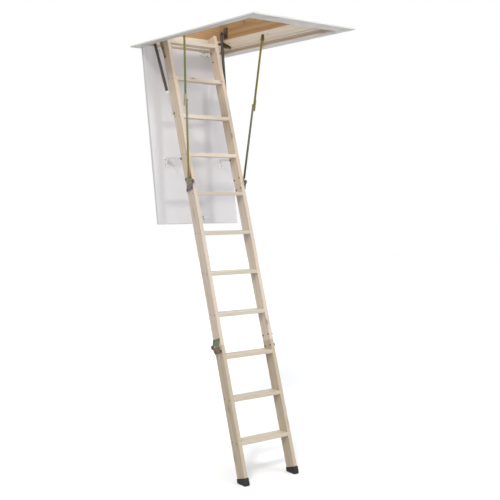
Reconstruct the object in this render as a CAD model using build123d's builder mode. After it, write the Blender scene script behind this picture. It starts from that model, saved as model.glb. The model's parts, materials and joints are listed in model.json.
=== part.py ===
from build123d import *
import os
from math import cos, sin, radians

# Folding three-section timber loft ladder with its casing and hatch door, in millimetres.
# Origin: centre of the hatch on the ceiling plane. +Z up, +X to the climber's right,
# +Y away from the climber.
# The model stands open: hatch door hanging, ladder unfolded down to the floor.

os.makedirs("parts", exist_ok=True)

# ---- driving dimensions -------------------------------------------------------------------------
FLOOR = -2580.0                # floor level below the ceiling plane
LADDER_ANGLE = 72.3            # slope of the stiles
DOOR_ANGLE = 80.5              # slope of the hanging door

CASING_X, CASING_Y = 614.0, 1148.0   # clear width and length between the casing boards
CASING_HEIGHT = 220.0
BOARD = 18.0                   # casing board thickness
LINING = 12.0                  # lining board thickness
LINING_LOW, LINING_HIGH = 22.0, 90.0
TRIM = 9.0                     # architrave thickness
TRIM_X, TRIM_IN_X = 355.0, 305.0     # half widths over the architrave, outside and inside
TRIM_FRONT, TRIM_IN_FRONT = -676.0, -572.0
TRIM_BACK, TRIM_IN_BACK = 612.0, 572.0
SEAL_X, SEAL_LOW = 8.0, 12.5   # draught seal under the lining

DOOR_WIDTH, DOOR_THICK = 602.0, 20.0
DOOR_LENGTH = 1134.0
DOOR_PIVOT = (563.0, -3.0)     # Y, Z of the hatch hinge
DOOR_OVER = 5.0                # door behind its pivot
DOOR_UNDER = 6.0               # room-side face below the pivot when shut

LADDER_Y = 499.5               # where the back edge of the stiles meets the ceiling plane
LADDER_WIDTH = 388.0           # over the stiles
STILE_THICK, STILE_DEPTH = 24.0, 74.0
SECTION_TOP, SECTION = -80.0, 1000.0
TREAD_GAP, TREAD_FIRST = 250.0, 63.0
TREAD_DEPTH, TREAD_THICK, HOUSING = 76.0, 22.0, 8.0
BUTT_GAP = 0.4                 # half of the gap between two sections

LADDER_PIVOT = (520.0, 62.0)   # Y, Z of the ladder's pivot pins
FOLD_1 = (920.0, 87.0)         # first fold axis: along the stile, depth from its back edge
FOLD_2 = (1920.0, -12.0)       # second fold axis
LEAF, LEAF_GAP = 3.0, 0.4      # fold hinge leaf thickness and the gap between leaves

STAY_TOP = (288.0, 90.0, 38.0)       # stay pivot on the lining: X, Y, Z
STAY_FOOT = (887.0, 66.0)            # stay foot on the stile: along, depth
STAY_UPPER = 410.0                   # upper bar length in the side view
SPRING_TOP = (272.0, 510.0, 130.0)   # spring pivot on the casing board
SPRING_FOOT = (455.0, 11.0)          # spring foot on the stile: along, depth
KNEE_UPPER_X, KNEE_LOWER_X, STAY_FOOT_X = 256.0, 248.0, 209.0   # X of the stay bars at knee and foot
SPRING_FOOT_X = 207.0                # X of the spring's lower eye
LINK_STILE = (750.0, 8.0)            # link arm on the stile: along, depth
LINK_DOOR = (718.0, 40.0)            # link arm on the door: along, height over the pivot plane
RUNNING = 0.05                       # radial clearance of a running fit

HALF_X, HALF_Y = CASING_X / 2, CASING_Y / 2
HALF_LADDER = LADDER_WIDTH / 2
STILE_IN = HALF_LADDER - STILE_THICK
SIDES = {"left": -1, "right": 1}

ladder_down = (-cos(radians(LADDER_ANGLE)), -sin(radians(LADDER_ANGLE)))   # Y, Z down the stile
ladder_front = (-sin(radians(LADDER_ANGLE)), cos(radians(LADDER_ANGLE)))   # Y, Z out of its front edge
door_down = (-cos(radians(DOOR_ANGLE)), -sin(radians(DOOR_ANGLE)))
door_front = (-sin(radians(DOOR_ANGLE)), cos(radians(DOOR_ANGLE)))


# ---- helpers --------------------------------------------------------------------------------------
def keep(made, label):
    """Label a finished piece and write it."""
    made.part.label = label
    export_step(made.part, f"parts/{label}.step")


def on_ladder(along, depth):
    """Y and Z of a point given along the stile and forward from its back edge."""
    return (LADDER_Y + along * ladder_down[0] + depth * ladder_front[0],
            along * ladder_down[1] + depth * ladder_front[1])


def on_door(along, height):
    """Y and Z of a point given down the door from its pivot and out of its attic side."""
    return (DOOR_PIVOT[0] + along * door_down[0] + height * door_front[0],
            DOOR_PIVOT[1] + along * door_down[1] + height * door_front[1])


def high_x(side, near, far):
    """Largest X of a slice that lies between two distances from the middle."""
    return far if side > 0 else -near


def ladder_plane(x):
    """Side view of the ladder: local X runs down the stile, local Y to its front, normal to -X."""
    return Plane(origin=(x, LADDER_Y, 0), x_dir=(0, *ladder_down), z_dir=(-1, 0, 0))


def door_plane(x):
    """Side view of the door: local X runs down the door, local Y to its attic side, normal to -X."""
    return Plane(origin=(x, *DOOR_PIVOT), x_dir=(0, *door_down), z_dir=(-1, 0, 0))


def side_plane(x):
    """Side view of the casing: local X is +Y, local Y is +Z, normal to +X."""
    return Plane(origin=(x, 0, 0), x_dir=(0, 1, 0), z_dir=(1, 0, 0))


def low_x(side, near, far):
    """Smallest X of the same slice."""
    return near if side > 0 else -far


def block(size_x, size_y, height, centre, low):
    """An upright box given by its plan size, plan centre and lowest Z."""
    with BuildPart() as made:
        with BuildSketch(Plane.XY.offset(low)):
            with Locations(centre):
                Rectangle(size_x, size_y)
        extrude(amount=height)
    return made


def disc(plane, at, radius, amount, mode=Mode.ADD):
    """Extrude a circle; used for pins, bolt heads, eyes and holes."""
    with BuildSketch(plane) as outline:
        with Locations(at):
            Circle(radius)
    extrude(outline.sketch, amount=amount, mode=mode)


# ---- casing ---------------------------------------------------------------------------------------
FIXING_Y, FIXING_Z = 400.0, (110.0, 180.0)   # holes for the screws into the joists
FIXING_R = 3.5
CORNER_SCREW_Z = (30.0, 110.0, 190.0)
CORNER_SCREW_R = 2.0

for name, side in SIDES.items():
    outer = high_x(side, HALF_X, HALF_X + BOARD)
    with BuildPart() as casing_side:
        with BuildSketch(Plane.XY):
            with Locations((side * (HALF_X + BOARD / 2), 0)):
                Rectangle(BOARD, CASING_Y + 2 * BOARD)
        extrude(amount=CASING_HEIGHT)
        with BuildSketch(side_plane(outer)):
            with Locations(*[(y, z) for y in (-FIXING_Y, FIXING_Y) for z in FIXING_Z]):
                Circle(FIXING_R)
        extrude(amount=-BOARD, mode=Mode.SUBTRACT)
        with BuildSketch(side_plane(outer)):
            with Locations(*[(end * (HALF_Y + BOARD / 2), z) for end in (-1, 1) for z in CORNER_SCREW_Z]):
                Circle(CORNER_SCREW_R)
        extrude(amount=-BOARD, mode=Mode.SUBTRACT)
        chamfer(casing_side.faces().sort_by(Axis.Z)[-1].edges().filter_by(Axis.Y), 1.5)
    keep(casing_side, f"casing_{name}")

for name, end in {"front": -1, "hinge_end": 1}.items():
    with BuildPart() as casing_end:
        with BuildSketch(Plane.XY):
            with Locations((0, end * (HALF_Y + BOARD / 2))):
                Rectangle(CASING_X, BOARD)
        extrude(amount=CASING_HEIGHT)
        for side in SIDES.values():
            with BuildSketch(side_plane(side * HALF_X)):
                with Locations(*[(end * (HALF_Y + BOARD / 2), z) for z in CORNER_SCREW_Z]):
                    Circle(CORNER_SCREW_R)
            extrude(amount=-side * 30, mode=Mode.SUBTRACT)
        chamfer(casing_end.faces().sort_by(Axis.Z)[-1].edges().filter_by(Axis.X), 1.5)
    keep(casing_end, f"casing_{name}")

# Countersunk screws that hold the casing corners, heads outside.
with BuildPart() as casing_screws:
    for side in SIDES.values():
        for end in (-1, 1):
            for z in CORNER_SCREW_Z:
                at = (end * (HALF_Y + BOARD / 2), z)
                face = side_plane(side * (HALF_X + BOARD))
                disc(face, at, 4.0, side * 1.2)
                disc(face, at, CORNER_SCREW_R - 0.1, -side * (BOARD + 28))
keep(casing_screws, "casing_screws")

# Lining boards: a stop for the door, with a shadow groove above their lower edge.
LINING_HEIGHT = LINING_HIGH - LINING_LOW
GROOVE_LOW, GROOVE = 9.0, 2.0
for name, side in SIDES.items():
    with BuildPart() as lining_side:
        with BuildSketch(Plane.XY.offset(LINING_LOW)):
            with Locations((side * (HALF_X - LINING / 2), 0)):
                Rectangle(LINING, CASING_Y)
        extrude(amount=LINING_HEIGHT)
        with BuildSketch(Plane.XY.offset(LINING_LOW + GROOVE_LOW)):
            with Locations((side * (HALF_X - LINING), 0)):
                Rectangle(2 * GROOVE, CASING_Y - 2 * LINING)
        extrude(amount=GROOVE, mode=Mode.SUBTRACT)
    keep(lining_side, f"lining_{name}")

for name, end in {"front": -1, "hinge_end": 1}.items():
    with BuildPart() as lining_end:
        with BuildSketch(Plane.XY.offset(LINING_LOW)):
            with Locations((0, end * (HALF_Y - LINING / 2))):
                Rectangle(CASING_X - 2 * LINING, LINING)
        extrude(amount=LINING_HEIGHT)
        with BuildSketch(Plane.XY.offset(LINING_LOW + GROOVE_LOW)):
            with Locations((0, end * (HALF_Y - LINING))):
                Rectangle(CASING_X - 2 * LINING, 2 * GROOVE)
        extrude(amount=GROOVE, mode=Mode.SUBTRACT)
    keep(lining_end, f"lining_{name}")

with BuildPart() as draught_seal:
    with BuildSketch(Plane.XY.offset(SEAL_LOW)):
        Rectangle(CASING_X, CASING_Y)
        Rectangle(CASING_X - 2 * SEAL_X, CASING_Y - 2 * SEAL_X, mode=Mode.SUBTRACT)
    extrude(amount=LINING_LOW - SEAL_LOW)
    bottom = draught_seal.faces().sort_by(Axis.Z)[0]
    chamfer(bottom.inner_wires()[0].edges(), 2.5)
keep(draught_seal, "draught_seal")

# Architrave: four mitred boards on the ceiling around the casing.
outer_corners = [(-TRIM_X, TRIM_FRONT), (TRIM_X, TRIM_FRONT), (TRIM_X, TRIM_BACK), (-TRIM_X, TRIM_BACK)]
inner_corners = [(-TRIM_IN_X, TRIM_IN_FRONT), (TRIM_IN_X, TRIM_IN_FRONT),
                 (TRIM_IN_X, TRIM_IN_BACK), (-TRIM_IN_X, TRIM_IN_BACK)]
for index, name in enumerate(("front", "right", "hinge_end", "left")):
    after = (index + 1) % 4
    with BuildPart() as architrave:
        with BuildSketch(Plane.XY.offset(-TRIM)):
            with BuildLine():
                Polyline(outer_corners[index], outer_corners[after],
                         inner_corners[after], inner_corners[index], close=True)
            make_face()
        extrude(amount=TRIM)
        run = Axis.X if index % 2 == 0 else Axis.Y
        rim = architrave.faces().sort_by(Axis.Z)[0].edges().filter_by(run)
        chamfer(rim, 1.5)
    keep(architrave, f"architrave_{name}")

# ---- brackets on the casing -----------------------------------------------------------------------
LINING_FACE = HALF_X - LINING
BRACKET = 4.0
PIN_R = 6.0
ARM_NEAR, ARM = HALF_LADDER, 4.0        # pivot arm plate on the stile's outer face
BRACKET_NOSE = (434.0, 33.0)

# Pivot brackets: tapered plates on the lining with the ladder's pivot pins and their collars.
with BuildPart() as pivot_brackets:
    for side in SIDES.values():
        with BuildSketch(side_plane(low_x(side, LINING_FACE - BRACKET, LINING_FACE))):
            with Locations(LADDER_PIVOT):
                Circle(17)
            with Locations(BRACKET_NOSE):
                Circle(8)
            make_hull()
        extrude(amount=BRACKET)
        plate_face = side_plane(side * (LINING_FACE - BRACKET))
        disc(plate_face, LADDER_PIVOT, 9.0, -side * 30)
        disc(plate_face, LADDER_PIVOT, PIN_R, -side * (LINING_FACE - BRACKET - ARM_NEAR - 0.4))
        collar_face = side_plane(side * (ARM_NEAR + ARM + 4.5))
        disc(collar_face, LADDER_PIVOT, 9.0, -side * 4)
keep(pivot_brackets, "pivot_brackets")

# Stay brackets: small plates on the lining with a headed stud.
STUD_R = 4.0
with BuildPart() as stay_brackets:
    for side in SIDES.values():
        with BuildSketch(side_plane(low_x(side, LINING_FACE - BRACKET, LINING_FACE))):
            with Locations((STAY_TOP[1], STAY_TOP[2] + 12)):
                RectangleRounded(26, 42, 6)
        extrude(amount=BRACKET)
        stud_face = side_plane(side * (LINING_FACE - BRACKET))
        disc(stud_face, STAY_TOP[1:], STUD_R, -side * 11)
        disc(side_plane(side * (LINING_FACE - BRACKET - 9)), STAY_TOP[1:], 7.0, -side * 3)
keep(stay_brackets, "stay_brackets")

# Spring brackets: plates on the casing boards with a long headed stud.
SPRING_STUD_R = 6.0
with BuildPart() as spring_brackets:
    for side in SIDES.values():
        with BuildSketch(side_plane(low_x(side, HALF_X - BRACKET, HALF_X))):
            with Locations((SPRING_TOP[1] - 4, SPRING_TOP[2] + 10)):
                RectangleRounded(44, 74, 6)
        extrude(amount=BRACKET)
        plate_face = side_plane(side * (HALF_X - BRACKET))
        disc(plate_face, SPRING_TOP[1:], 9.0, -side * (HALF_X - BRACKET - SPRING_TOP[0] - 9))
        disc(plate_face, SPRING_TOP[1:], SPRING_STUD_R, -side * (HALF_X - BRACKET - SPRING_TOP[0] + 10))
        disc(side_plane(side * (SPRING_TOP[0] - 9)), SPRING_TOP[1:], 9.0, -side * 3)
keep(spring_brackets, "spring_brackets")

# Door hinges, fixed half: leaf on the casing's hinge-end board and a knuckle in the door's notch.
HINGE_X = 160.0
KNUCKLE_R, HINGE_PIN_R = 5.0, 2.5
FIXED_HALF, HINGE_HALF = 12.0, 34.0
with BuildPart() as door_hinge_leaves_fixed:
    for side in SIDES.values():
        with BuildSketch(side_plane(side * HINGE_X)):
            with Locations((HALF_Y - 1.5, 6.6)):
                Rectangle(3, 11.2)
            with BuildLine():
                Polyline((HALF_Y, 1.0), (HALF_Y, 5.0), (DOOR_PIVOT[0], DOOR_PIVOT[1] + KNUCKLE_R),
                         (DOOR_PIVOT[0], DOOR_PIVOT[1]), close=True)
            make_face()
            with Locations(DOOR_PIVOT):
                Circle(KNUCKLE_R)
                Circle(HINGE_PIN_R + RUNNING, mode=Mode.SUBTRACT)
        extrude(amount=FIXED_HALF, both=True)
keep(door_hinge_leaves_fixed, "door_hinge_leaves_fixed")

# Latch on the front board: a case with a spring tongue that catches the door's keeper.
LATCH_X, LATCH_Z = 35.0, 32.0
LATCH_W, LATCH_D, LATCH_H = 50.0, 18.0, 18.0
LATCH_FRONT = -(HALF_Y - LINING)
TONGUE_R, TONGUE_REACH, TONGUE_BACK = 4.0, 16.0, 13.0
with BuildPart() as latch_case:
    with BuildSketch(Plane.XY.offset(LATCH_Z - LATCH_H / 2)):
        with Locations((LATCH_X, LATCH_FRONT + LATCH_D / 2)):
            Rectangle(LATCH_W, LATCH_D)
    extrude(amount=LATCH_H)
    fillet(latch_case.edges().filter_by(Axis.Z).sort_by(Axis.Y)[-2:], 4)
    with BuildSketch(Plane.XZ.offset(-LATCH_FRONT)):
        with Locations((LATCH_X, LATCH_Z)):
            Circle(TONGUE_R + RUNNING)
    extrude(amount=-LATCH_D, mode=Mode.SUBTRACT)
keep(latch_case, "latch_case")

with BuildPart() as latch_tongue:
    with BuildSketch(Plane.XZ.offset(-LATCH_FRONT - TONGUE_BACK)):
        with Locations((LATCH_X, LATCH_Z)):
            Circle(TONGUE_R)
    extrude(amount=-(LATCH_D + TONGUE_REACH - TONGUE_BACK))
    chamfer(latch_tongue.edges().group_by(Axis.Y)[-1], 2.5)
keep(latch_tongue, "latch_tongue")

# ---- hatch door -----------------------------------------------------------------------------------
DOOR_FACE = DOOR_THICK - DOOR_UNDER            # attic-side face, out from the pivot plane
NOTCH_END = 9.0
with BuildPart() as door_panel:
    with BuildSketch(door_plane(0)):
        with Locations(((DOOR_LENGTH / 2 - DOOR_OVER), (DOOR_FACE - DOOR_UNDER) / 2)):
            Rectangle(DOOR_LENGTH, DOOR_THICK)
    extrude(amount=DOOR_WIDTH / 2, both=True)
    for side in SIDES.values():
        with BuildSketch(door_plane(side * HINGE_X)):
            with Locations(((NOTCH_END - DOOR_OVER - 1) / 2, (DOOR_FACE - DOOR_UNDER) / 2)):
                Rectangle(NOTCH_END + DOOR_OVER + 1, DOOR_THICK + 2)
        extrude(amount=HINGE_HALF + 2, both=True, mode=Mode.SUBTRACT)
    far_face = door_panel.faces().sort_by(Axis.Z)[0]
    chamfer(far_face.edges().filter_by(Axis.X), 1.5)
keep(door_panel, "door_panel")

# Door hinges, moving half: leaf on the attic side with two outer knuckles and the pin.
LEAF_LONG = 15.0
with BuildPart() as door_hinge_leaves:
    for side in SIDES.values():
        with BuildSketch(door_plane(side * HINGE_X)):
            with Locations((10 + LEAF_LONG / 2, DOOR_FACE + 1.25)):
                Rectangle(LEAF_LONG, 2.5)
        extrude(amount=HINGE_HALF, both=True)
        for hand in (-1, 1):
            knuckle_high = HINGE_HALF if hand > 0 else -(FIXED_HALF + 1)
            with BuildSketch(door_plane(side * HINGE_X + knuckle_high)):
                with BuildLine():
                    Polyline((14, DOOR_FACE), (14, DOOR_FACE + 2.5), (6, DOOR_FACE + 2.5), (0, KNUCKLE_R),
                             (KNUCKLE_R, 0), (8, DOOR_FACE), close=True)
                make_face()
                Circle(KNUCKLE_R)
            extrude(amount=HINGE_HALF - FIXED_HALF - 1)
        with BuildSketch(door_plane(side * HINGE_X)):
            Circle(HINGE_PIN_R)
        extrude(amount=HINGE_HALF, both=True)
keep(door_hinge_leaves, "door_hinge_leaves")

# Brackets on the door for the link arms: base plate and upright ear.
LINK_X, LINK = HALF_LADDER + 2.0, 4.0          # inner face and thickness of the link arms
EAR_NEAR = LINK_X + LINK + 2.5
with BuildPart() as door_brackets:
    for side in SIDES.values():
        with BuildSketch(door_plane(high_x(side, LINK_X - 4, LINK_X + 30))):
            with Locations((LINK_DOOR[0] + 20, DOOR_FACE + 1.25)):
                Rectangle(62, 2.5)
        extrude(amount=34)
        with BuildSketch(door_plane(high_x(side, EAR_NEAR, EAR_NEAR + 3))):
            with Locations(LINK_DOOR):
                Circle(8)
            with Locations((LINK_DOOR[0] + 10, DOOR_FACE + 1.25)):
                Rectangle(40, 2.5)
            make_hull()
        extrude(amount=3)
keep(door_brackets, "door_brackets")

# Keeper for the latch: a low loop on a plate near the door's free edge.
KEEPER_ALONG = DOOR_LENGTH - DOOR_OVER - 34
KEEPER_W, KEEPER_BAR = 30.0, 3.0
KEEPER_UNDER = LATCH_Z + TONGUE_R + 0.4 - DOOR_PIVOT[1]      # underside of the loop's top bar
with BuildPart() as latch_keeper:
    with BuildSketch(door_plane(LATCH_X + KEEPER_W / 2 + 10)):
        with Locations((KEEPER_ALONG, DOOR_FACE + 1)):
            Rectangle(26, 2)
    extrude(amount=KEEPER_W + 20)
    with BuildSketch(door_plane(LATCH_X + KEEPER_W / 2)):
        with Locations((KEEPER_ALONG, (DOOR_FACE + KEEPER_UNDER + KEEPER_BAR) / 2)):
            Rectangle(8, KEEPER_UNDER + KEEPER_BAR - DOOR_FACE)
    extrude(amount=KEEPER_W)
    with BuildSketch(door_plane(LATCH_X + KEEPER_W / 2 - KEEPER_BAR)):
        with Locations((KEEPER_ALONG, (DOOR_FACE + 2 + KEEPER_UNDER) / 2)):
            Rectangle(10, KEEPER_UNDER - DOOR_FACE - 2)
    extrude(amount=KEEPER_W - 2 * KEEPER_BAR, mode=Mode.SUBTRACT)
keep(latch_keeper, "latch_keeper")

# ---- ladder sections ------------------------------------------------------------------------------
section_start = [SECTION_TOP, FOLD_1[0], FOLD_2[0]]
section_treads = [4, 4, 3]
LEAF_IN = HALF_LADDER                          # inner leaf layer
LEAF_OUT = HALF_LADDER + LEAF + LEAF_GAP       # outer leaf layer
BOLT_R, BOLT_HOLE = 3.0, 3.1
LEAF_BOLT_FIRST, LEAF_BOLT_DEPTHS = 33.0, (14.0, 66.0)
SCREW_R, SCREW_DEPTHS = 2.0, (-22.0, 22.0)
SCREW_HEAD_R, SCREW_SINK = 3.6, 1.4
FOOT_TOP, FOOT_WALL, FOOT_BASE = 2684.0, 2.5, 6.0
tread_angle = LADDER_ANGLE                     # a level tread's slope in the stile's side view


def along_at(z, depth):
    """Distance along the stile where a line at this depth reaches a height."""
    return (z - depth * ladder_front[1]) / ladder_down[1]


def tread_places(section):
    """Distances along the stile of a section's tread middles."""
    first = section_start[section] + TREAD_FIRST
    return [first + TREAD_GAP * step for step in range(section_treads[section])]


def screw_places(along):
    """Two screws for each tread end, on the tread's level middle line."""
    return [(along + reach * cos(radians(tread_angle)), STILE_DEPTH / 2 + reach * sin(radians(tread_angle)))
            for reach in SCREW_DEPTHS]


def stile_ends(section):
    """Side outline of a stile: square ends, and a level cut above the floor on the last section."""
    start = section_start[section] + (BUTT_GAP if section else 0)
    if section < 2:
        end = section_start[section + 1] - BUTT_GAP
        return [(start, 0), (end, 0), (end, STILE_DEPTH), (start, STILE_DEPTH)]
    cut = FLOOR + FOOT_BASE
    back, front = along_at(cut, 0), along_at(cut, STILE_DEPTH)
    return [(start, 0), (back, 0), (front, STILE_DEPTH), (start, STILE_DEPTH)]


# Bolt places on each section's stiles, in the stile's side view.
leaf_bolts = [
    [(FOLD_1[0] - LEAF_BOLT_FIRST, depth) for depth in LEAF_BOLT_DEPTHS],
    [(FOLD_1[0] + LEAF_BOLT_FIRST, depth) for depth in LEAF_BOLT_DEPTHS]
    + [(FOLD_2[0] - LEAF_BOLT_FIRST, depth + 0.0) for depth in LEAF_BOLT_DEPTHS],
    [(FOLD_2[0] + LEAF_BOLT_FIRST, depth) for depth in LEAF_BOLT_DEPTHS],
]
ARM_BOLTS = [(82.0, 20.0), (20.0, 14.0)]
stile_bolts = [leaf_bolts[0] + ARM_BOLTS + [SPRING_FOOT, LINK_STILE], leaf_bolts[1], leaf_bolts[2]]

for section in range(3):
    for name, side in SIDES.items():
        with BuildPart() as stile:
            with BuildSketch(ladder_plane(high_x(side, STILE_IN, HALF_LADDER))):
                with BuildLine():
                    Polyline(*stile_ends(section), close=True)
                make_face()
            extrude(amount=STILE_THICK)
            fillet(stile.edges().filter_by(Axis((0, 0, 0), (0, *ladder_down))), 2)
            with BuildSketch(ladder_plane(high_x(side, STILE_IN, STILE_IN + HOUSING))):
                for along in tread_places(section):
                    with Locations((along, STILE_DEPTH / 2)):
                        Rectangle(TREAD_DEPTH, TREAD_THICK, rotation=tread_angle)
            extrude(amount=HOUSING, mode=Mode.SUBTRACT)
            with BuildSketch(ladder_plane(high_x(side, STILE_IN, HALF_LADDER))):
                for along in tread_places(section):
                    with Locations(*screw_places(along)):
                        Circle(SCREW_R + 0.1)
                with Locations(*stile_bolts[section]):
                    Circle(BOLT_HOLE)
            extrude(amount=STILE_THICK, mode=Mode.SUBTRACT)
            with BuildSketch(ladder_plane(high_x(side, HALF_LADDER - SCREW_SINK, HALF_LADDER))):
                for along in tread_places(section):
                    with Locations(*screw_places(along)):
                        Circle(SCREW_HEAD_R + 0.1)
            extrude(amount=SCREW_SINK, mode=Mode.SUBTRACT)
        keep(stile, f"stile_{section + 1}_{name}")

tread_count = sum(section_treads)
number = tread_count
for section in range(3):
    for along in tread_places(section):
        middle = on_ladder(along, STILE_DEPTH / 2)
        with BuildPart() as tread:
            with BuildSketch(side_plane(-(STILE_IN + HOUSING))):
                with Locations(middle):
                    RectangleRounded(TREAD_DEPTH, TREAD_THICK, 3)
            extrude(amount=2 * (STILE_IN + HOUSING))
            for side in SIDES.values():
                with BuildSketch(ladder_plane(side * (STILE_IN + HOUSING))):
                    with Locations(*screw_places(along)):
                        Circle(SCREW_R + 0.1)
                extrude(amount=side * 26, mode=Mode.SUBTRACT)
        keep(tread, f"tread_{number:02d}")
        number -= 1

# Pivot arms: tapered plates on the stiles' outer faces, turning on the pivot pins.
with BuildPart() as pivot_arms:
    for side in SIDES.values():
        pivot_along = ((LADDER_PIVOT[0] - LADDER_Y) * ladder_down[0] + LADDER_PIVOT[1] * ladder_down[1])
        pivot_depth = ((LADDER_PIVOT[0] - LADDER_Y) * ladder_front[0] + LADDER_PIVOT[1] * ladder_front[1])
        with BuildSketch(ladder_plane(high_x(side, ARM_NEAR, ARM_NEAR + ARM))):
            with Locations((pivot_along, pivot_depth)):
                Circle(15)
            with Locations(ARM_BOLTS[0]):
                Circle(9)
            make_hull()
            with Locations((pivot_along, pivot_depth)):
                Circle(PIN_R + RUNNING, mode=Mode.SUBTRACT)
            with Locations(*ARM_BOLTS):
                Circle(BOLT_HOLE, mode=Mode.SUBTRACT)
        extrude(amount=ARM)
keep(pivot_arms, "pivot_arms")


# Fold hinge leaves. Each leaf is a triangle-like plate that narrows to the fold axis.
PIVOT_EYE, RIVET_R = 13.0, 4.0


def leaf(pivot, toward, near, hole):
    """A pair of leaves that run from the fold axis along the stile, in one layer off the stile."""
    bolts = [(pivot[0] + toward * LEAF_BOLT_FIRST, depth) for depth in LEAF_BOLT_DEPTHS]
    end = pivot[0] + toward * (LEAF_BOLT_FIRST + 10)
    inner = STILE_DEPTH - 4 if pivot[1] < 0 else 4
    outer = STILE_DEPTH - inner
    waist = 22 if pivot[1] > 0 else STILE_DEPTH - 22
    with BuildPart() as made:
        for side in SIDES.values():
            with BuildSketch(ladder_plane(high_x(side, near, near + LEAF))):
                with BuildLine():
                    Polyline((end, inner), (end, outer), (pivot[0] + toward * 6, pivot[1]),
                             (pivot[0] + toward * 2, waist), close=True)
                make_face()
                with Locations(pivot):
                    Circle(PIVOT_EYE)
                    Circle(hole, mode=Mode.SUBTRACT)
                with Locations(*bolts):
                    Circle(BOLT_HOLE, mode=Mode.SUBTRACT)
            extrude(amount=LEAF)
            if near > LEAF_IN:
                with BuildSketch(ladder_plane(high_x(side, LEAF_IN, near))):
                    with Locations(*bolts):
                        Circle(8)
                        Circle(BOLT_HOLE, mode=Mode.SUBTRACT)
                extrude(amount=near - LEAF_IN)
    return made


keep(leaf(FOLD_1, -1, LEAF_IN, RIVET_R + 0.02), "fold_1_upper_leaves")
keep(leaf(FOLD_1, 1, LEAF_OUT, RIVET_R + RUNNING), "fold_1_lower_leaves")
keep(leaf(FOLD_2, -1, LEAF_IN, RIVET_R + 0.02), "fold_2_upper_leaves")
keep(leaf(FOLD_2, 1, LEAF_OUT, RIVET_R + RUNNING), "fold_2_lower_leaves")


def through_bolt(side, at, seat, head=6.0):
    """A bolt through the stile with its head on a plate's outer face and a nut inside."""
    disc(ladder_plane(high_x(side, STILE_IN - 3, seat)), at, BOLT_R, seat - STILE_IN + 3)
    disc(ladder_plane(high_x(side, seat, seat + 2)), at, head, 2)
    disc(ladder_plane(high_x(side, STILE_IN - 3, STILE_IN)), at, 5.0, 3)


def spacer(side, at, near, far):
    """A round spacer on a bolt, between two distances from the middle."""
    disc(ladder_plane(high_x(side, near, far)), at, 6.0, far - near)


def fold_rivet(side, at):
    """The fold axis: a rivet held in the inner leaf, with a head over the outer leaf."""
    head = LEAF_OUT + LEAF + 0.4
    disc(ladder_plane(high_x(side, LEAF_IN - 3, head + 2)), at, RIVET_R, head + 5 - LEAF_IN)
    disc(ladder_plane(high_x(side, head, head + 2)), at, 7.0, 2)
    disc(ladder_plane(high_x(side, LEAF_IN - 3, LEAF_IN)), at, 7.0, 3)


leaf_seats = [[LEAF_IN + LEAF] * 2, [LEAF_OUT + LEAF] * 2 + [LEAF_IN + LEAF] * 2, [LEAF_OUT + LEAF] * 2]
for section in range(3):
    with BuildPart() as bolts:
        for side in SIDES.values():
            for at, seat in zip(leaf_bolts[section], leaf_seats[section]):
                through_bolt(side, at, seat)
            if section == 0:
                for at in ARM_BOLTS:
                    through_bolt(side, at, ARM_NEAR + ARM)
                through_bolt(side, LINK_STILE, LINK_X + LINK + 0.2, 8.0)
                spacer(side, LINK_STILE, HALF_LADDER, LINK_X - 0.3)
                through_bolt(side, SPRING_FOOT, HALF_LADDER)
                spacer(side, SPRING_FOOT, HALF_LADDER, SPRING_FOOT_X - 3.6)
                spacer(side, STAY_FOOT, LEAF_IN + LEAF, STAY_FOOT_X - 6.0)
            if section < 2:
                fold_rivet(side, (FOLD_1, FOLD_2)[section])
    keep(bolts, f"section_{section + 1}_bolts")

for section in range(3):
    with BuildPart() as screws:
        for side in SIDES.values():
            for along in tread_places(section):
                for at in screw_places(along):
                    seat = HALF_LADDER - SCREW_SINK
                    disc(ladder_plane(high_x(side, seat, seat + 1.2)), at, SCREW_HEAD_R, 1.2)
                    disc(ladder_plane(high_x(side, STILE_IN - 14, seat)), at, SCREW_R, seat - STILE_IN + 14)
    keep(screws, f"section_{section + 1}_screws")

# Feet: caps with closed walls around the stile ends, level on the floor.
with BuildPart() as feet:
    for side in SIDES.values():
        with BuildSketch(ladder_plane(high_x(side, STILE_IN - FOOT_WALL, HALF_LADDER + FOOT_WALL))):
            with BuildLine():
                Polyline((FOOT_TOP, -FOOT_WALL), (along_at(FLOOR, -FOOT_WALL), -FOOT_WALL),
                         (along_at(FLOOR, STILE_DEPTH + FOOT_WALL), STILE_DEPTH + FOOT_WALL),
                         (FOOT_TOP, STILE_DEPTH + FOOT_WALL), close=True)
            make_face()
        extrude(amount=STILE_THICK + 2 * FOOT_WALL)
        fillet(feet.edges().filter_by(Axis.X).sort_by(Axis.Y)[0], 10)
        with BuildSketch(ladder_plane(high_x(side, STILE_IN, HALF_LADDER))):
            with BuildLine():
                Polyline((FOOT_TOP - 1, 0), (along_at(FLOOR + FOOT_BASE, 0), 0),
                         (along_at(FLOOR + FOOT_BASE, STILE_DEPTH), STILE_DEPTH), (FOOT_TOP - 1, STILE_DEPTH),
                         close=True)
            make_face()
        extrude(amount=STILE_THICK, mode=Mode.SUBTRACT)
keep(feet, "feet")

# ---- folding stays --------------------------------------------------------------------------------
foot_y, foot_z = on_ladder(*STAY_FOOT)
stay_run = Vector(0, foot_y - STAY_TOP[1], foot_z - STAY_TOP[2])
stay_unit = stay_run.normalized()
KNEE = Vector(0, STAY_TOP[1], STAY_TOP[2]) + stay_unit * STAY_UPPER
BAR_WIDE, BAR_THICK = 17.0, 4.0
KNEE_WIDE, KNEE_LONG = 22.0, 72.0


def bar(start, end, wide, thick):
    """A flat bar with round ends between two points, its flat side facing mostly along X."""
    run = (end - start).normalized()
    across = (Vector(1, 0, 0) - run * run.X).normalized()
    plane = Plane(origin=(start + end) * 0.5, x_dir=run, z_dir=across)
    with BuildSketch(plane) as outline:
        SlotCenterToCenter((end - start).length, wide)
    extrude(outline.sketch, amount=thick / 2, both=True)


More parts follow.
